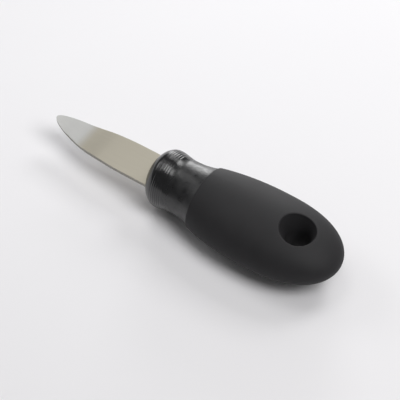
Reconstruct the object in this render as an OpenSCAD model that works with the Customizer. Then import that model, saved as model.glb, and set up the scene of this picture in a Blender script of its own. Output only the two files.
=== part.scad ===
// Oyster knife: a short blade in a fat soft grip behind a glossy ridged collar.
// The knife lies flat: tip towards -X, butt towards +X, resting on the plane Z = 0.
// Inside the modules X = 0 is the front of the collar and Z = 0 is the knife's own axis.

/* [Blade] */
// Length of blade in front of the collar
blade_reach = 60.5; // [50:0.5:75]
// Full width of the blade
blade_w = 20.2; // [16:0.2:24]
// Thickness of the blade strip
blade_t = 2; // [1.5:0.1:3]
// Thickness that the blade thins to at its tip
tip_t = 1; // [0.6:0.1:1.5]
// Length over which the blade thins
taper_l = 24; // [15:1:40]
// Length over which the pointed end narrows
point_l = 48; // [35:1:49]
// How far the tip is bent up
tip_rise = 3.2; // [0:0.1:5]
// Length of the bent end
tip_bend_l = 19.5; // [12:0.5:26]
// Depth of the shallow dip behind the bend
bend_dip = 0.5; // [0:0.1:1]
// Broken corner along the blade's edges
edge_break = 0.25; // [0.1:0.05:0.4]

/* [Tang] */
// Width of the hidden tang
tang_w = 13; // [9:0.5:15]
// Length of the tang behind the collar's front
tang_l = 64; // [50:1:67]
// Radius of the holes that lock the tang
lock_hole_r = 2.6; // [1.5:0.1:3.5]
// Distance from the core's front to the first of those holes
front_lock = 13; // [10:0.5:20]
// Distance from the second hole to the end of the tang
rear_lock = 14; // [9:0.5:18]

/* [Collar] */
// Half width of the collar's rounded rim
rim_half_w = 15.3; // [15:0.1:17]
// Half thickness of the rim, which stands up as a guard for the fingers
rim_half_t = 16.4; // [15:0.1:17.5]
// Distance from the collar's front to its widest place
nose_l = 9.4; // [8:0.1:10.5]
// Radius of the flat at the very front
face_r = 2.6; // [2:0.2:8]
// Distance from the front to the narrowest place
waist_x = 18; // [16:0.5:22]
// Half width of the narrowest place
waist_half_w = 14.6; // [14:0.1:15]
// Half thickness of the narrowest place
waist_half_t = 14.2; // [13:0.1:15]
// Distance from the front to the edge of the soft grip
grip_start = 31; // [28:0.5:34]
// Half width where the soft grip begins
mouth_half_w = 17.4; // [16.5:0.1:19]
// Half thickness where the soft grip begins
mouth_half_t = 14.9; // [13.5:0.1:15]

/* [Ridges] */
// Number of fine ridges round the collar
ridge_count = 8; // [3:1:10]
// Distance from one ridge to the next
ridge_pitch = 0.8; // [0.6:0.1:1]
// Height of a ridge above its grooves
ridge_h = 0.3; // [0.1:0.05:0.4]
// Distance from the front to the first groove
ridge_start = 7; // [6:0.1:8]

/* [Grip] */
// Length of the whole handle
handle_l = 109; // [102:1:120]
// How far the grip's front edge stands proud of the collar
lip = 0.5; // [0.2:0.1:1]
// Half width of the belly
belly_half_w = 23.1; // [21:0.1:26]
// Half thickness of the belly
belly_half_t = 15.6; // [15:0.1:17]
// Distance from the collar's front to the widest place
belly_x = 67; // [60:1:72]

/* [Spigot] */
// Length of the collar's spigot that the grip covers
spigot_l = 9; // [7:0.5:12]
// Wall of soft rubber over the spigot
mouth_wall = 2.6; // [2:0.1:3]
// Depth of the groove that holds the rubber
spigot_groove = 0.8; // [0.3:0.1:1]
// Width of that groove
spigot_groove_w = 3; // [2:0.1:4]

/* [Hanging hole] */
// Distance from the collar's front to the middle of the hole
hole_x = 84.7; // [82:0.1:87]
// Radius of the hole at the surface
funnel_r = 9.1; // [8:0.1:10]
// Radius of the straight throat
throat_r = 6; // [4:0.1:7]
// Length of the straight throat
throat_l = 6; // [3:0.5:8]
// Depth over which the throat opens to the full radius
funnel_depth = 9.3; // [8:0.1:10.5]

/* [Core] */
// Width of the core's nose inside the collar
core_nose_w = 21; // [18:0.5:22]
// Thickness of the rigid core
core_t = 12; // [9:0.5:13]
// Distance from the collar's front to the core's front
core_start = 9; // [8:0.5:12]
// Radius of the holes that the rubber fills to lock on the core
key_r = 2.6; // [2:0.1:3]
// Plastic left around each of those holes
key_wall = 1.8; // [1:0.1:2.5]
// Distance from the middle of the core forward to the front pair of those holes
front_key = 6; // [4:0.5:8]
// Distance from the middle of the core back to the rear pair
rear_key = 3; // [1:0.5:5]
// Rubber between the hole and the core's eye
eye_lining = 1.6; // [1:0.1:2]
// Width of the ring of the core's eye
eye_ring = 3.6; // [2.5:0.1:4]

/* [Fit] */
// Clearance between pieces that are moulded round each other
fit_gap = 0.05; // [0.02:0.01:0.12]

/* [Hidden] */
$fn = 96;
// Sides of every oval ring
segments = 56;
// Numbers of rings: dome, one ridge, neck, grip's front and its butt
dome_rings = 9;
ridge_rings = 4;
neck_rings = 10;
front_rings = 14;
butt_rings = 20;
// Angle at which the butt's last ring closes it
butt_close = 89.5;
// Powers that shape the collar's dome and its neck, the grip's front and its butt
dome_power = 2;
neck_power = 2.3;
front_power_w = 2.3;
front_power_t = 2;
butt_power_w = 2.6;
butt_power_t = 2.1;
// Powers that shape the blade's leaf outline and its bend
leaf_power = 1.75;
leaf_root = 1.83;
bend_power = 1.6;
// First station behind the tip, number of stations, and the power that crowds them there
tip_start = 0.04;
leaf_steps = 44;
leaf_crowding = 1.6;
// Shares of the bent end at which the dip begins and ends
dip_start = 0.5;
dip_end = 1.7;
// Power that makes the funnel steep at the throat and flared at the surface
funnel_power = 1.6;
funnel_steps = 9;
// Power that fills out the core's swelling, and the steps along its edge
swell_power = 0.6;
core_steps = 30;
axis_height = max(rim_half_t, belly_half_t);
middle_x = (handle_l - blade_reach) / 2;
spigot_end = grip_start + spigot_l;
ridge_end = ridge_start + ridge_count * ridge_pitch;
// Higher than the whole knife, for cuts that run right through
far = 60;

// Half size of the collar at x, from its domed front over the waist to the mouth
function collar_size(x, rim, waist, mouth) =
    x <= nose_l
        ? face_r + (rim - face_r) * sqrt(1 - pow(1 - x / nose_l, dome_power))
        : x <= waist_x
            ? rim + (waist - rim) * smooth((x - nose_l) / (waist_x - nose_l))
            : waist + (mouth - waist) * pow((x - waist_x) / (grip_start - waist_x), neck_power);

// Goes from 0 to 1 with a level start and end
function smooth(u) = u * u * (3 - 2 * u);

// Depth of the grooves between the ridges at x
function groove(x) =
    x < ridge_start || x > ridge_end
        ? 0
        : ridge_h * (0.5 - 0.5 * cos(360 * (x - ridge_start) / ridge_pitch));

// Half size of the grip at x, from its mouth over the belly and round the butt
function grip_size(x, mouth, belly, front_power, butt_power) =
    x <= belly_x
        ? belly - (belly - mouth) * pow((belly_x - x) / (belly_x - grip_start), front_power)
        : belly * sqrt(max(0, 1 - pow((x - belly_x) / (handle_l - belly_x), butt_power)));

function collar_w(x) = collar_size(x, rim_half_w, waist_half_w, mouth_half_w) - groove(x);
function collar_t(x) = collar_size(x, rim_half_t, waist_half_t, mouth_half_t) - groove(x);
function grip_w(x) = grip_size(x, mouth_half_w + lip, belly_half_w, front_power_w, butt_power_w);
function grip_t(x) = grip_size(x, mouth_half_t + lip, belly_half_t, front_power_t, butt_power_t);

// Numbers from a to b in n equal steps
function span(a, b, n) = [for (i = [0:n]) a + (b - a) * i / n];

// Closes a skin over rings of points that all have the same number of sides
module skin(rings) {
    n = len(rings);
    m = len(rings[0]);
    sides = [
        for (k = [0:n - 2], i = [0:m - 1])
            let (a = k * m + i, b = k * m + (i + 1) % m)
                each [[a, a + m, b], [b, a + m, b + m]]
    ];
    front = [for (i = [0:m - 1]) i];
    back = [for (i = [1:m]) n * m - i];
    polyhedron([for (ring = rings) each ring], concat([front], sides, [back]), convexity = 6);
}

// A skin over ovals, each given as [x, half width, half thickness]
module oval_loft(sizes) {
    skin([
        for (s = sizes)
            [for (i = [0:segments - 1])
                let (angle = 360 * i / segments) [s[0], s[1] * cos(angle), s[2] * sin(angle)]]
    ]);
}

// Moves the knife from its own axis onto the plane it rests on
module laid_down() {
    translate([-middle_x, 0, axis_height]) children();
}

// Half width of the pointed blade at a distance s from its tip
function leaf(s) =
    s >= point_l ? blade_w / 2 : blade_w / 2 * pow(1 - pow(1 - s / point_l, leaf_power), 1 / leaf_root);

// Thickness of the blade at a distance s from its tip
function blade_thickness(s) = s >= taper_l ? blade_t : tip_t + (blade_t - tip_t) * s / taper_l;

// Height of the blade's middle: a raised tip, and a shallow dip where the bend begins
dip_from = tip_bend_l * dip_start;
dip_to = tip_bend_l * dip_end;
function blade_height(s) =
    tip_rise * pow(max(0, 1 - s / tip_bend_l), bend_power)
    - (s > dip_from && s < dip_to ? bend_dip * pow(sin(180 * (s - dip_from) / (dip_to - dip_from)), 2) : 0);

// Section of the blade at a distance s from its tip, with its four corners broken
function blade_section(s) =
    let (
        w = leaf(s),
        h = blade_thickness(s) / 2,
        c = min(edge_break, w / 2),
        x = s - blade_reach,
        z = blade_height(s)
    )
    [for (p = [
        [w, h - c], [w - c, h], [c - w, h], [-w, h - c],
        [-w, c - h], [c - w, -h], [w - c, -h], [w, c - h]
    ]) [x, p[0], z + p[1]]];

// The tang seen from above, with a round end, grown by gap
module tang_plan(gap) {
    round_r = tang_w / 2 + gap;
    translate([core_start - 1, -round_r]) square([tang_l - tang_w / 2 - core_start + 1, 2 * round_r]);
    translate([tang_l - tang_w / 2, 0]) circle(r = round_r);
}

// The two places where plastic passes through the tang
module at_lock_holes() {
    for (x = [core_start + front_lock, tang_l - rear_lock]) translate([x, 0, 0]) children();
}

module blade() {
    point = [for (u = span(0, 1, leaf_steps)) tip_start + (point_l - tip_start) * pow(u, leaf_crowding)];
    stations = concat(point, [blade_reach + core_start - fit_gap]);
    color("#aca798")
        laid_down()
            difference() {
                union() {
                    skin([for (s = stations) blade_section(s)]);
                    translate([0, 0, -blade_t / 2]) linear_extrude(blade_t) tang_plan(0);
                }
                at_lock_holes() translate([0, 0, -far / 2]) cylinder(r = lock_hole_r, h = far);
            }
}

// Radius of the hole at a height z above the middle of the grip
function hole_r(z) =
    let (u = min(1, max(0, z - throat_l / 2) / funnel_depth))
        throat_r + (funnel_r - throat_r) * pow(u, funnel_power);

// The throat and the two funnels that open from it
module hanging_hole() {
    throat_end = throat_l / 2;
    wall = [for (z = span(throat_end, throat_end + funnel_depth, funnel_steps)) [hole_r(z), z]];
    translate([hole_x, 0, 0]) {
        translate([0, 0, -far / 2]) cylinder(r = throat_r, h = far);
        for (side = [0, 1])
            mirror([0, 0, side])
                rotate_extrude() polygon(concat([[0, throat_end]], wall, [[funnel_r, far / 2], [0, far / 2]]));
    }
}

// Middle of the side keys: beside the tang, with a wall between
key_y = tang_w / 2 + key_wall + key_r;
core_half_w = key_y + key_r + key_wall;
eye_hole_r = hole_r(core_t / 2) + eye_lining;
eye_r = eye_hole_r + eye_ring;
core_middle_x = (spigot_end + hole_x) / 2;

// Half width of the core at x: a straight nose, then a swelling for the keys
function core_size(x) =
    let (share = (x - spigot_end) / (hole_x - spigot_end), swelling = core_half_w - core_nose_w / 2)
        core_nose_w / 2 + swelling * pow(sin(180 * share), swell_power);

// The core with its key holes and its eye, but without the tang's slot, grown by gap
module core_body(gap) {
    thick = core_t + 2 * gap;
    edge = [for (x = span(spigot_end, hole_x, core_steps)) [x, core_size(x) + gap]];
    upper = concat([[core_start - gap, core_nose_w / 2 + gap]], edge);
    lower = [for (i = [len(upper) - 1:-1:0]) [upper[i][0], -upper[i][1]]];
    difference() {
        translate([0, 0, -thick / 2]) {
            linear_extrude(thick) polygon(concat(upper, lower));
            translate([hole_x, 0, 0]) cylinder(r = eye_r + gap, h = thick);
        }
        translate([hole_x, 0, -far / 2]) cylinder(r = eye_hole_r - gap, h = far);
        for (x = [core_middle_x - front_key, core_middle_x + rear_key], side = [-1, 1])
            translate([x, side * key_y, -far / 2]) cylinder(r = key_r - gap, h = far);
    }
}

module core() {
    slot_t = blade_t + 2 * fit_gap;
    color("#3a3a3c")
        laid_down()
            difference() {
                core_body(0);
                difference() {
                    translate([0, 0, -slot_t / 2]) linear_extrude(slot_t) tang_plan(fit_gap);
                    at_lock_holes()
                        translate([0, 0, -slot_t]) cylinder(r = lock_hole_r - fit_gap, h = 2 * slot_t);
                }
            }
}

// The collar's spigot, an oval plug with a groove round it, grown by gap
module spigot(gap) {
    w = mouth_half_w - mouth_wall + gap;
    t = mouth_half_t - mouth_wall + gap;
    d = spigot_groove;
    from = grip_start + (spigot_l - spigot_groove_w) / 2;
    to = from + spigot_groove_w;
    oval_loft([
        [grip_start - 1, w, t],
        [from, w, t],
        [from + d / 2, w - d, t - d],
        [to - d / 2, w - d, t - d],
        [to, w, t],
        [spigot_end + gap, w, t]
    ]);
}

module collar() {
    dome_xs = [for (i = [0:dome_rings - 1]) ridge_start * (1 - cos(90 * i / dome_rings))];
    ridge_xs = span(ridge_start, ridge_end, ridge_count * ridge_rings);
    neck_xs = [for (x = span(ridge_end, grip_start, neck_rings)) if (x > ridge_end) x];
    slot_w = blade_w + 2 * fit_gap;
    slot_t = blade_t + 2 * fit_gap;
    color("#1b1b1d")
        laid_down()
            difference() {
                union() {
                    oval_loft([for (x = concat(dome_xs, ridge_xs, neck_xs)) [x, collar_w(x), collar_t(x)]]);
                    spigot(0);
                }
                core_body(fit_gap);
                translate([-1, -slot_w / 2, -slot_t / 2]) cube([core_start + 1, slot_w, slot_t]);
            }
}

module grip_sleeve() {
    front_xs = span(grip_start, belly_x, front_rings);
    butt_xs = [for (i = [1:butt_rings]) belly_x + (handle_l - belly_x) * sin(butt_close * i / butt_rings)];
    color("#3b3a3d")
        laid_down()
            difference() {
                oval_loft([for (x = concat(front_xs, butt_xs)) [x, grip_w(x), grip_t(x)]]);
                spigot(fit_gap);
                core_body(fit_gap);
                hanging_hole();
            }
}

blade();
collar();
core();
grip_sleeve();
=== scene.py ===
# %% [markdown]
# # An oyster knife
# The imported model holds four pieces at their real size, in metres: a blade, a
# glossy collar, a hidden core and a fat soft grip. It says where everything is,
# but its skins are made of flat facets, which gloss and soft light give away.
# So this lesson models smooth skins for the three pieces that show, gives every
# piece its finish, lays the knife on a pale floor and lights it.

# %% Load the pieces
import math

import bmesh
import bpy
from mathutils import Matrix, Quaternion, Vector


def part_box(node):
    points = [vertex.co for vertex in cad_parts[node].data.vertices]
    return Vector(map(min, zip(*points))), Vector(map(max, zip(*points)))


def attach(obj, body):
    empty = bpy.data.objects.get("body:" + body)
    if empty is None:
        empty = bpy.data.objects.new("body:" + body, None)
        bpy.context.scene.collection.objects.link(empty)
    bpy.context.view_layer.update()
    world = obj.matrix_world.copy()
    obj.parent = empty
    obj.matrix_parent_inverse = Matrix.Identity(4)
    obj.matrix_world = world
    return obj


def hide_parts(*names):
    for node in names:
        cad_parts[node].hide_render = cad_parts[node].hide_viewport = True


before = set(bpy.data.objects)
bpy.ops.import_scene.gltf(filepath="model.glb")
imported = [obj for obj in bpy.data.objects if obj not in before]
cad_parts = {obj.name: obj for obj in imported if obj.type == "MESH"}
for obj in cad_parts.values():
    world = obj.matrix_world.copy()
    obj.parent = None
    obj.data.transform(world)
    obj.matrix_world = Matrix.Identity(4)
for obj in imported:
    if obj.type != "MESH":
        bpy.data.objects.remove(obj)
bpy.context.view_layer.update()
print("pieces:", sorted(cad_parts))

# %% [markdown]
# ## Where things are
# Every length is counted from the front of the collar, along the knife's own
# axis, as a person would measure a real handle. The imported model's boxes give
# that front, the axis and the lengths, so nothing here can slide out of place.

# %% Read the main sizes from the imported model
mm = 0.001
blade_low, blade_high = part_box("blade")
collar_low, collar_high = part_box("collar")
core_low, core_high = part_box("core")
grip_low, grip_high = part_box("grip_sleeve")
front_x = collar_low.x
axis_z = (grip_low.z + grip_high.z) / 2
blade_reach = front_x - blade_low.x
tang_end = blade_high.x - front_x
core_start = core_low.x - front_x
grip_start = grip_low.x - front_x
spigot_end = collar_high.x - front_x
handle_l = grip_high.x - front_x
belly_half_w = grip_high.y
belly_half_t = grip_high.z - axis_z
rim_half_t = collar_high.z - axis_z
fit_gap = 0.05 * mm
overcut = 1 * mm
print("handle", round(handle_l / mm, 1), "mm")
print("blade in front of it", round(blade_reach / mm, 1), "mm")

# %% [markdown]
# ## Helpers for skins
# The collar and the grip are ovals that change along the axis. A lathe can't
# make them, because an oval isn't round, and a box with many loops is slow to
# shape. So a skin starts as one ring. The ring is extruded, and each new ring is
# scaled and moved to the next station, the way a potter draws up a wall.


# %% Helpers that make and cut skins
def verts_in(parts):
    """The vertices among the parts that an operator made."""
    return [part for part in parts if isinstance(part, bmesh.types.BMVert)]


def edges_among(verts):
    """The edges whose two ends are both among the vertices."""
    inside = set(verts)
    return list({
        edge for vert in verts for edge in vert.link_edges
        if edge.other_vert(vert) in inside
    })


def oval_skin(ovals, sides=144):
    """A closed skin over ovals, each given as (x, half width, half thickness)."""
    mesh = bmesh.new()
    facing_x = Matrix.Rotation(math.radians(90), 4, "Y")
    ring = bmesh.ops.create_circle(
        mesh, cap_ends=True, segments=sides, radius=1, matrix=facing_x,
    )["verts"]
    unit_ring = (0, 1, 1)
    here = unit_ring
    for there in ovals:
        if here != unit_ring:
            made = bmesh.ops.extrude_edge_only(mesh, edges=edges_among(ring))
            ring = verts_in(made["geom"])
        grown = (1, there[1] / here[1], there[2] / here[2])
        bmesh.ops.scale(mesh, vec=grown, verts=ring)
        bmesh.ops.translate(mesh, vec=(there[0] - here[0], 0, 0), verts=ring)
        here = there
    bmesh.ops.contextual_create(mesh, geom=edges_among(ring))
    bmesh.ops.recalc_face_normals(mesh, faces=mesh.faces)
    return mesh


def block(x0, x1, half_w, half_t):
    """A box from x0 to x1 along the axis."""
    mesh = bmesh.new()
    bmesh.ops.create_cube(mesh, size=1)
    bmesh.ops.scale(mesh, vec=(x1 - x0, 2 * half_w, 2 * half_t), verts=mesh.verts)
    bmesh.ops.translate(mesh, vec=((x0 + x1) / 2, 0, 0), verts=mesh.verts)
    return mesh


def drill(x, radius, sides=96, length=60 * mm):
    """An upright cylinder through the knife's axis at x."""
    mesh = bmesh.new()
    bmesh.ops.create_cone(
        mesh, cap_ends=True, segments=sides, radius1=radius, radius2=radius, depth=length,
        matrix=Matrix.Translation((x, 0, 0)),
    )
    return mesh


def solid(name, mesh):
    """Turns a bmesh into an object that lies where the knife lies."""
    bmesh.ops.translate(mesh, vec=(front_x, 0, axis_z), verts=mesh.verts)
    data = bpy.data.meshes.new(name)
    mesh.to_mesh(data)
    mesh.free()
    piece = bpy.data.objects.new(name, data)
    bpy.context.collection.objects.link(piece)
    return piece


def cut(piece, tool):
    """Cuts the tool out of the piece, and then removes the tool."""
    step = piece.modifiers.new("cut", "BOOLEAN")
    step.operation = "DIFFERENCE"
    step.solver = "EXACT"
    step.object = tool
    shaped = piece.evaluated_get(bpy.context.evaluated_depsgraph_get())
    data = bpy.data.meshes.new_from_object(shaped)
    piece.modifiers.clear()
    piece.data = data
    bpy.data.objects.remove(tool)


def finish_piece(piece, node, finish, crease=50):
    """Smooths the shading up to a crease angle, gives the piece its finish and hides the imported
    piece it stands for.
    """
    for face in piece.data.polygons:
        face.use_smooth = True
    piece.data.set_sharp_from_angle(angle=math.radians(crease))
    piece.data.materials.clear()
    piece.data.materials.append(finish)
    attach(piece, "root")
    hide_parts(node)
    sizes = [round(side / mm, 1) for side in piece.dimensions]
    print(piece.name, "measures", sizes, "mm and has", len(piece.data.polygons), "faces")


# %% [markdown]
# ## A starting point for every finish
# Each finish is a Principled shader whose colour, roughness and bump come from
# noise on Object coordinates, so the pattern has a real scale in metres.


# %% Helpers for finishes
def new_finish(name):
    """A material with its tree, its shader and an Object coordinate."""
    material = bpy.data.materials.new(name)
    material.use_nodes = True
    tree = material.node_tree
    shader = tree.nodes["Principled BSDF"]
    place = tree.nodes.new("ShaderNodeTexCoord").outputs["Object"]
    return material, tree, shader, place


def noise(tree, place, scale, detail=3.0, stretch=(1.0, 1.0, 1.0)):
    """Noise whose grains are 1/scale metres, drawn out by stretch."""
    mapping = tree.nodes.new("ShaderNodeMapping")
    mapping.inputs["Scale"].default_value = stretch
    tree.links.new(place, mapping.inputs["Vector"])
    grain = tree.nodes.new("ShaderNodeTexNoise")
    grain.inputs["Scale"].default_value = scale
    grain.inputs["Detail"].default_value = detail
    tree.links.new(mapping.outputs["Vector"], grain.inputs["Vector"])
    return grain.outputs["Fac"]


def ramp(tree, factor, low, high, start=0.3, end=0.7):
    """Colours from low to high as the factor goes from start to end."""
    stops = tree.nodes.new("ShaderNodeValToRGB")
    stops.color_ramp.elements[0].position = start
    stops.color_ramp.elements[0].color = (*low, 1)
    stops.color_ramp.elements[1].position = end
    stops.color_ramp.elements[1].color = (*high, 1)
    tree.links.new(factor, stops.inputs["Fac"])
    return stops.outputs["Color"]


def spread(tree, factor, low, high, start=0.0, end=1.0):
    """A number that runs from low to high as the factor goes from start to end."""
    scaled = tree.nodes.new("ShaderNodeMapRange")
    scaled.inputs["From Min"].default_value = start
    scaled.inputs["From Max"].default_value = end
    scaled.inputs["To Min"].default_value = low
    scaled.inputs["To Max"].default_value = high
    tree.links.new(factor, scaled.inputs["Value"])
    return scaled.outputs["Result"]


def along_x(tree, place):
    """How far along the knife a point lies."""
    parts = tree.nodes.new("ShaderNodeSeparateXYZ")
    tree.links.new(place, parts.inputs["Vector"])
    return parts.outputs["X"]


def colour_socket(sockets, name):
    """A Mix node has a socket of each name for every kind of value: this is the one for colours."""
    return next(socket for socket in sockets if socket.name == name and socket.type == "RGBA")


def blend(tree, factor, low, high):
    """One colour where the factor is 0, going over to the other where it is 1."""
    mix = tree.nodes.new("ShaderNodeMix")
    mix.data_type = "RGBA"
    tree.links.new(factor, mix.inputs[0])
    tree.links.new(low, colour_socket(mix.inputs, "A"))
    tree.links.new(high, colour_socket(mix.inputs, "B"))
    return colour_socket(mix.outputs, "Result")


def bump(tree, shader, height, distance, strength):
    """Bump of a real height in metres."""
    node = tree.nodes.new("ShaderNodeBump")
    node.inputs["Strength"].default_value = strength
    node.inputs["Distance"].default_value = distance
    tree.links.new(height, node.inputs["Height"])
    tree.links.new(node.outputs["Normal"], shader.inputs["Normal"])


# %% [markdown]
# ## The blade's finish
# The blade is satin steel with fine lines along its length. It is warm and even
# on the flat and paler where the bent tip was ground. Its side faces get a darker
# colour, which is painted shade for the dark line along the edge. One colour can't
# show that, so two colours blend where the bend begins, and an attribute of the
# mesh marks the side faces that get the painted shade.


# %% Satin steel
def satin_steel():
    """Warm satin steel, ground paler over the bent tip, with painted shade on its side faces."""
    material, tree, shader, place = new_finish("satin steel")
    lines = noise(tree, place, 700, stretch=(0.05, 1.0, 1.0))
    flat = ramp(tree, lines, (0.500, 0.468, 0.390), (0.515, 0.483, 0.405))
    ground = ramp(tree, lines, (0.500, 0.500, 0.488), (0.515, 0.515, 0.503))
    grind_start = blade_low.x + 17 * mm
    grind_end = blade_low.x + 22 * mm
    bend = spread(tree, along_x(tree, place), 0, 1, grind_start, grind_end)
    steel = blend(tree, bend, ground, flat)
    # Painted shade: the side faces marked on the mesh get a darker steel colour that stands in for
    # the shade along the edge.
    edge = tree.nodes.new("ShaderNodeAttribute")
    edge.attribute_name = "painted_side_shade"
    painted_edge_shade = ramp(tree, lines, (0.26, 0.25, 0.22), (0.30, 0.29, 0.26))
    surface = blend(tree, edge.outputs["Fac"], steel, painted_edge_shade)
    tree.links.new(surface, shader.inputs["Base Color"])
    tree.links.new(spread(tree, lines, 0.42, 0.45), shader.inputs["Roughness"])
    shader.inputs["Metallic"].default_value = 1.0
    return material


# %% [markdown]
# ## The plastics and the rubber
# The collar is black plastic. Its dome and ridges come out of a polished mould,
# and its neck is duller, in soft patches, as on a handle that has been held. One
# roughness for all of it would look like paint, so a noise drives the roughness
# and the bump of the neck alone. The core is plain moulded plastic, and the grip
# is matte rubber with pores less than half a millimetre across.


# %% Plastics and rubber
def glossy_black():
    """Black plastic, polished on the dome and the ridges, duller in soft patches on the neck."""
    material, tree, shader, place = new_finish("glossy black plastic")
    cloud = noise(tree, place, 220)
    black = ramp(tree, cloud, (0.008, 0.008, 0.0085), (0.013, 0.013, 0.014))
    tree.links.new(black, shader.inputs["Base Color"])
    distance = along_x(tree, place)
    polish_end = front_x + 13.5 * mm
    neck_start = polish_end + 6 * mm
    roughness = spread(tree, distance, 0.18, 0.5, polish_end, neck_start)
    patches = spread(tree, cloud, 0.26, 0.50, 0.3, 0.7)
    tree.links.new(patches, roughness.node.inputs["To Max"])
    tree.links.new(roughness, shader.inputs["Roughness"])
    shader.inputs["Specular IOR Level"].default_value = 0.65
    dents = spread(tree, distance, 0, 1, polish_end, neck_start)
    tree.links.new(cloud, dents.node.inputs["To Max"])
    bump(tree, shader, dents, 0.4 * mm, 0.5)
    return material


def plain_plastic():
    """Plain black plastic for the hidden core."""
    material, tree, shader, place = new_finish("moulded core plastic")
    cloud = noise(tree, place, 300)
    grey = ramp(tree, cloud, (0.04, 0.04, 0.042), (0.05, 0.05, 0.052))
    tree.links.new(grey, shader.inputs["Base Color"])
    shader.inputs["Roughness"].default_value = 0.5
    return material


def soft_rubber():
    """Matte black rubber with a faint cloudiness and fine pores."""
    material, tree, shader, place = new_finish("matte soft rubber")
    cloud = noise(tree, place, 120)
    pores = noise(tree, place, 2600)
    black = ramp(tree, cloud, (0.016, 0.0155, 0.0168), (0.019, 0.0183, 0.0198))
    tree.links.new(black, shader.inputs["Base Color"])
    tree.links.new(spread(tree, cloud, 0.60, 0.68), shader.inputs["Roughness"])
    shader.inputs["Specular IOR Level"].default_value = 0.3
    bump(tree, shader, pores, 0.03 * mm, 0.4)
    return material


# %% Finish of the core
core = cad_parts["core"]
core.data.materials.clear()
core.data.materials.append(plain_plastic())
print("core finished in", core.data.materials[0].name)

# %% [markdown]
# ## The blade
# The real blade is one strip of steel: a pointed leaf whose end bends up, and a
# narrower tang that runs on inside the handle. A flat grid is the natural
# start, because only its outline, its height and its thickness change along the
# length. Each column of the grid is set to its station, the grid is extruded
# into a strip, and a bevel breaks the edge as a polishing wheel does.

# %% Shape of the blade
blade_half_w = blade_high.y
blade_t = 2 * mm
tip_t = 1 * mm
taper_l = 24 * mm
point_l = 48 * mm
point_curve = 1.75
point_fullness = 1.83
tip_rise = 3.2 * mm
tip_bend_l = 19.5 * mm
tip_bend_curve = 1.6
dip = 0.5 * mm
dip_start = 0.5
dip_share = 1.2
tang_half_w = 6.5 * mm
edge_break = 0.2 * mm
lock_hole_r = 2.6 * mm
lock_from_core = 13 * mm
lock_from_end = 14 * mm


def leaf(s):
    """Half width of the blade at a distance s from its tip."""
    if s >= point_l:
        return blade_half_w
    return blade_half_w * (1 - (1 - s / point_l) ** point_curve) ** (1 / point_fullness)


def blade_height(s):
    """Height of the blade's middle: the tip bends up, with a shallow dip before the bend."""
    height = tip_rise * max(0, 1 - s / tip_bend_l) ** tip_bend_curve
    share = (s / tip_bend_l - dip_start) / dip_share
    if 0 < share < 1:
        height -= dip * math.sin(math.pi * share) ** 2
    return height


def blade_thickness(s):
    """Thickness of the strip, which thins towards the tip."""
    return tip_t + (blade_t - tip_t) * min(1, s / taper_l)


# %% Stations along the strip
leaf_steps = 90
leaf_crowding = 1.5
tip_start = 0.05 * mm
shoulder = blade_reach + core_start - fit_gap
strip_end = blade_reach + tang_end
round_start = strip_end - tang_half_w
stations = []
for step in range(leaf_steps + 1):
    s = tip_start + (shoulder - tip_start) * (step / leaf_steps) ** leaf_crowding
    stations.append((s, leaf(s)))
stations.append((shoulder, tang_half_w))
for turn in range(0, 90, 7):
    angle = math.radians(turn)
    s = round_start + tang_half_w * math.sin(angle)
    stations.append((s, tang_half_w * math.cos(angle)))
print(len(stations), "stations from the tip to the end of the tang")

# %% The strip
strip = bmesh.new()
columns = len(stations) - 1
bmesh.ops.create_grid(strip, x_segments=columns, y_segments=2, size=0.5)
for vert in strip.verts:
    s, half_w = stations[round((vert.co.x + 0.5) * columns)]
    top = blade_height(s) + blade_thickness(s) / 2
    vert.co = (s - blade_reach, 2 * vert.co.y * half_w, top)
made = bmesh.ops.extrude_face_region(strip, geom=strip.faces[:], use_keep_orig=True)
for vert in verts_in(made["geom"]):
    vert.co.z -= blade_thickness(vert.co.x + blade_reach)
bmesh.ops.recalc_face_normals(strip, faces=strip.faces)
corner_angle = math.radians(60)
corners = [edge for edge in strip.edges if edge.calc_face_angle(0) > corner_angle]
bmesh.ops.bevel(
    strip, geom=corners, offset=edge_break, affect="EDGES", segments=2, profile=0.5,
    material=-1, clamp_overlap=True,
)
print("open edges:", sum(not edge.is_manifold for edge in strip.edges))

# %% Lock holes and finish
blade = solid("blade_skin", strip)
for x in (core_start + lock_from_core, tang_end - lock_from_end):
    cut(blade, solid("lock_hole", drill(x, lock_hole_r)))
# Faces that stand steeply are the blade's side faces, marked for the painted shade.
steepest_flat = 0.6
side_shade_marks = [float(abs(face.normal.z) < steepest_flat) for face in blade.data.polygons]
painted_side_shade = blade.data.attributes.new("painted_side_shade", "FLOAT", "FACE")
painted_side_shade.data.foreach_set("value", side_shade_marks)
finish_piece(blade, "blade", satin_steel(), crease=40)

# %% [markdown]
# ## The collar
# The collar is hard glossy plastic. Its front is a dome, six fine ridges run
# round its rim, and behind them it narrows to a waist and opens again to meet
# the grip. The ridges could be bump in the finish, but then their crests
# wouldn't catch the light as lines, so the skin has twelve rings for each. Gloss
# shows facets on the dome and the neck too, so the rings there lie less than half
# a millimetre apart. Behind the grip's edge it goes on as a spigot with a groove.

# %% Shape of the collar
rim_half_w = 15.3 * mm
nose_l = 9.4 * mm
face_r = 2.6 * mm
waist_x = 18 * mm
waist_half_w = 14.6 * mm
waist_half_t = 14.2 * mm
mouth_half_w = 17.4 * mm
mouth_half_t = 14.9 * mm
mouth_curve = 2.3
ridge_start = 7 * mm
ridge_count = 6
ridge_pitch = 1.15 * mm
ridge_h = 0.15 * mm
ridge_end = ridge_start + ridge_count * ridge_pitch
mouth_wall = 2.6 * mm
spigot_groove = 0.8 * mm
spigot_groove_w = 3 * mm


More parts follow.
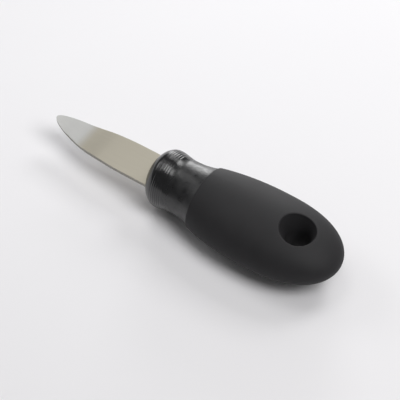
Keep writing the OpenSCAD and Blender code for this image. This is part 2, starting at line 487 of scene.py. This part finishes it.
def collar_size(x, rim, waist, mouth):
    """Half size of the collar at x: a dome, the narrowing to the waist, then the mouth."""
    if x <= nose_l:
        return face_r + (rim - face_r) * math.sqrt(1 - (1 - x / nose_l) ** 2)
    if x <= waist_x:
        share = (x - nose_l) / (waist_x - nose_l)
        return rim + (waist - rim) * share * share * (3 - 2 * share)
    return waist + (mouth - waist) * ((x - waist_x) / (grip_start - waist_x)) ** mouth_curve


def ridge_groove(x):
    """Depth of the grooves between the ridges at x."""
    if not ridge_start < x < ridge_end:
        return 0
    return ridge_h * (0.5 - 0.5 * math.cos(2 * math.pi * (x - ridge_start) / ridge_pitch))


def collar_oval(x):
    """The collar's section at x."""
    groove = ridge_groove(x)
    wide = collar_size(x, rim_half_w, waist_half_w, mouth_half_w)
    thick = collar_size(x, rim_half_t, waist_half_t, mouth_half_t)
    return x, wide - groove, thick - groove


def spigot_ovals(gap):
    """The spigot behind the collar's mouth, with a groove round it, grown by a gap."""
    wide = mouth_half_w - mouth_wall + gap
    thick = mouth_half_t - mouth_wall + gap
    middle = (grip_start + spigot_end) / 2
    outer = spigot_groove_w / 2
    inner = outer - spigot_groove / 2
    return [
        (grip_start, wide, thick),
        (middle - outer, wide, thick),
        (middle - inner, wide - spigot_groove, thick - spigot_groove),
        (middle + inner, wide - spigot_groove, thick - spigot_groove),
        (middle + outer, wide, thick),
        (spigot_end + gap, wide, thick),
    ]


# %% The collar's skin
dome_rings = 36
ridge_rings = 12
neck_rings = 40
dome_xs = [
    ridge_start * (1 - math.cos(math.radians(90 * step / dome_rings)))
    for step in range(dome_rings)
]
ridge_xs = [
    ridge_start + ridge_pitch * step / ridge_rings
    for step in range(ridge_rings * ridge_count + 1)
]
neck_xs = [
    ridge_end + (grip_start - ridge_end) * step / neck_rings
    for step in range(1, neck_rings + 1)
]
ovals = [collar_oval(x) for x in dome_xs + ridge_xs + neck_xs]
collar = solid("collar_skin", oval_skin(ovals + spigot_ovals(0)))
print(len(ovals), "rings from the dome to the mouth")

# %% Room for the blade and the core
nose_half_w = 10.5 * mm
nose_half_t = (core_high.z - core_low.z) / 2
blade_slot = block(
    -overcut, core_start + overcut, blade_half_w + fit_gap, blade_t / 2 + fit_gap,
)
cut(collar, solid("blade_slot", blade_slot))
core_room = block(
    core_start - fit_gap, spigot_end + overcut, nose_half_w + fit_gap, nose_half_t + fit_gap,
)
cut(collar, solid("core_room", core_room))
finish_piece(collar, "collar", glossy_black())

# %% [markdown]
# ## The grip
# The grip is soft rubber moulded over the core and the spigot. Outside it is one
# oval skin that swells to a belly and closes round the butt. The hanging hole
# has to meet that curved skin with a soft rounded rim. A plain cut would leave a
# hard edge, so a wide cylinder is cut first, its wall is deleted, and the open
# edge is extruded ring by ring over the rim and down to the throat.

# %% Shape of the grip
lip = 0.5 * mm
mouth_round = 0.4 * mm
belly_x = 67 * mm
front_curve_w = 2.3
front_curve_t = 2.0
butt_curve_w = 2.6
butt_curve_t = 2.1
hole_x = 84.7 * mm
hole_rim_r = 9.1 * mm
rim_round = 0.8 * mm
funnel_curve = 1.6
throat_r = 6 * mm
throat_half_l = 3 * mm


def grip_size(x, mouth, belly, front_curve, butt_curve):
    """Half size of the grip at x, from its mouth over the belly and round the butt."""
    if x <= belly_x:
        return belly - (belly - mouth) * ((belly_x - x) / (belly_x - grip_start)) ** front_curve
    return belly * math.sqrt(max(0, 1 - ((x - belly_x) / (handle_l - belly_x)) ** butt_curve))


def grip_oval(x):
    """The grip's section at x."""
    wide = grip_size(x, mouth_half_w + lip, belly_half_w, front_curve_w, butt_curve_w)
    thick = grip_size(x, mouth_half_t + lip, belly_half_t, front_curve_t, butt_curve_t)
    return x, wide, thick


def grip_height(x, y):
    """Height of the grip's skin above its axis at a point of the plan."""
    _, wide, thick = grip_oval(x)
    return thick * math.sqrt(max(0, 1 - (y / wide) ** 2))


# %% The grip's skin
belly_rings = 50
front_l = belly_x - grip_start - mouth_round
ovals = []
for turn in range(0, 91, 15):
    angle = math.radians(turn)
    x, wide, thick = grip_oval(grip_start + mouth_round * (1 - math.cos(angle)))
    inset = mouth_round * (1 - math.sin(angle))
    ovals.append((x, wide - inset, thick - inset))
for step in range(1, belly_rings + 1):
    ovals.append(grip_oval(grip_start + mouth_round + front_l * step / belly_rings))
for step in range(1, 60):
    angle = math.radians(1.5 * step)
    ovals.append(grip_oval(belly_x + (handle_l - belly_x) * math.sin(angle)))
grip = solid("grip_skin", oval_skin(ovals, sides=192))
cut_r = hole_rim_r + rim_round
cut(grip, solid("hole_cut", drill(hole_x, cut_r, sides=128)))
print(len(ovals), "rings from the mouth to the butt")

# %% The wall of the cut goes
skin = bmesh.new()
skin.from_mesh(grip.data)
bmesh.ops.translate(skin, vec=(-front_x - hole_x, 0, -axis_z), verts=skin.verts)
wall_slack = 0.02 * mm
wall = [
    face for face in skin.faces
    if all(abs(vert.co.xy.length - cut_r) < wall_slack for vert in face.verts)
]
bmesh.ops.delete(skin, geom=wall, context="FACES")
print(len(wall), "faces of the wall removed")

# %% The hanging hole, ring by ring
rim_rings = 8
funnel_rings = 16
throat_edges = []
for side in (1, -1):
    edges = [edge for edge in skin.edges if edge.is_boundary and edge.verts[0].co.z * side > 0]
    ring = list({vert for edge in edges for vert in edge.verts})
    for step in range(1, rim_rings + funnel_rings + 1):
        made = bmesh.ops.extrude_edge_only(skin, edges=edges_among(ring))
        ring = verts_in(made["geom"])
        for vert in ring:
            out = vert.co.xy.normalized()
            if step <= rim_rings:
                angle = math.radians(90 * step / rim_rings)
                radius = hole_rim_r + rim_round * (1 - math.sin(angle))
                drop = rim_round * (1 - math.cos(angle))
                height = grip_height(hole_x + out.x * radius, out.y * radius) - drop
            else:
                share = 1 - (step - rim_rings) / funnel_rings
                rim_x = hole_x + out.x * hole_rim_r
                top = grip_height(rim_x, out.y * hole_rim_r) - rim_round
                height = throat_half_l + (top - throat_half_l) * share
                radius = throat_r + (hole_rim_r - throat_r) * share ** funnel_curve
            vert.co = (out.x * radius, out.y * radius, height * side)
    throat_edges += edges_among(ring)
bmesh.ops.bridge_loops(skin, edges=throat_edges)
bmesh.ops.recalc_face_normals(skin, faces=skin.faces)
print("open edges:", sum(not edge.is_manifold for edge in skin.edges))
bmesh.ops.translate(skin, vec=(front_x + hole_x, 0, axis_z), verts=skin.verts)
skin.to_mesh(grip.data)
skin.free()

# %% Room for the spigot inside the grip
room = spigot_ovals(fit_gap)
room[0] = (grip_start - overcut, room[0][1], room[0][2])
cut(grip, solid("spigot_room", oval_skin(room)))
finish_piece(grip, "grip_sleeve", soft_rubber())

# %% [markdown]
# ## The floor
# The knife lies on a sheet of white paper that shades off a little towards the
# viewer. A lamp could shade it too, but every lamp throws one more shadow, so the
# shade is painted: the paper's colour runs from a paler white behind to a greyer one in front.

# %% Floor
view_azimuth = math.radians(33.6)
floor_size = 6.0
paper_shaded_near = (0.800, 0.790, 0.805)
paper_far = (0.865, 0.857, 0.875)
paper_fade = 0.13
paper_turn = math.radians(22)
bpy.ops.mesh.primitive_plane_add(size=floor_size)
floor = bpy.context.object
floor.name = "floor"
paper, paper_tree, paper_shader, paper_place = new_finish("white paper")
turned = paper_tree.nodes.new("ShaderNodeMapping")
turned.inputs["Rotation"].default_value = (0, 0, -view_azimuth - paper_turn)
paper_tree.links.new(paper_place, turned.inputs["Vector"])
parts = paper_tree.nodes.new("ShaderNodeSeparateXYZ")
paper_tree.links.new(turned.outputs["Vector"], parts.inputs["Vector"])
# Painted shade: the paper's colour turns greyer towards the viewer.
depth = spread(paper_tree, parts.outputs["Y"], 0, 1, -paper_fade, paper_fade)
whites_with_painted_shade = ramp(paper_tree, depth, paper_shaded_near, paper_far, 0, 1)
paper_tree.links.new(whites_with_painted_shade, paper_shader.inputs["Base Color"])
paper_shader.inputs["Roughness"].default_value = 0.9
floor.data.materials.append(paper)
print("a sheet of", floor_size, "m")

# %% [markdown]
# ## Light
# Black plastic shows its shape only by what it mirrors, so the light comes from
# seven soft panels round the table, as in a small product studio. The two at the
# right light the floor most, and leave a soft shadow on the viewer's left. One
# overhead and one at the left fill it. The three behind draw the collar's
# highlights and a sheen along the grip.


# %% Lamps and world
def lamp(name, bearing, height, power, size=0.45, distance=1.1):
    """A soft square panel at a bearing from +Y towards +X and a height, both in degrees."""
    light = bpy.data.lights.new(name, "AREA")
    light.shape = "SQUARE"
    light.size = size
    light.energy = power
    turn = math.radians(bearing)
    rise = math.radians(height)
    level = math.cos(rise)
    direction = Vector((math.sin(turn) * level, math.cos(turn) * level, math.sin(rise)))
    holder = bpy.data.objects.new(name, light)
    holder.location = direction * distance
    holder.rotation_euler = direction.to_track_quat("Z", "Y").to_euler()
    bpy.context.collection.objects.link(holder)
    print(name, "lamp of", power, "W")


lamp("right", 94, 53, 4.4)
lamp("high_right", 108, 70, 2.25)
lamp("overhead", 300, 72, 1.5)
lamp("back_right", 10, 44, 3.0, size=0.4)
lamp("back", 338, 28, 1.0)
lamp("low_back", 332, 11, 4.6)
lamp("left", 270, 32, 2.0)
world = bpy.data.worlds.new("studio")
world.use_nodes = True
sky = world.node_tree.nodes["Background"]
sky.inputs["Color"].default_value = (1.0, 1.0, 1.0, 1)
sky.inputs["Strength"].default_value = 0.13
bpy.context.scene.world = world

# %% [markdown]
# ## Camera
# The camera stands nearly a metre away and has a long lens, so lines hardly
# converge. Its angles come from a fit of the knife's outline to the photo.

# %% Camera
elevation = math.radians(51.4)
camera_roll = math.radians(0.25)
camera_distance = 0.9
target = Vector((front_x + 29.6 * mm, -2.4 * mm, axis_z))
back = Vector((
    math.sin(view_azimuth) * math.cos(elevation),
    -math.cos(view_azimuth) * math.cos(elevation),
    math.sin(elevation),
))
camera_data = bpy.data.cameras.new("camera")
camera_data.lens = 162.8
camera_data.sensor_width = 36
camera_data.clip_start = 0.01
camera = bpy.data.objects.new("camera", camera_data)
camera.location = target + back * camera_distance
facing = back.to_track_quat("Z", "Y") @ Quaternion((0, 0, 1), camera_roll)
camera.rotation_euler = facing.to_euler()
bpy.context.collection.objects.link(camera)
bpy.context.scene.camera = camera
bpy.context.scene.view_settings.view_transform = "Standard"
print("camera", camera_distance, "m from the knife")
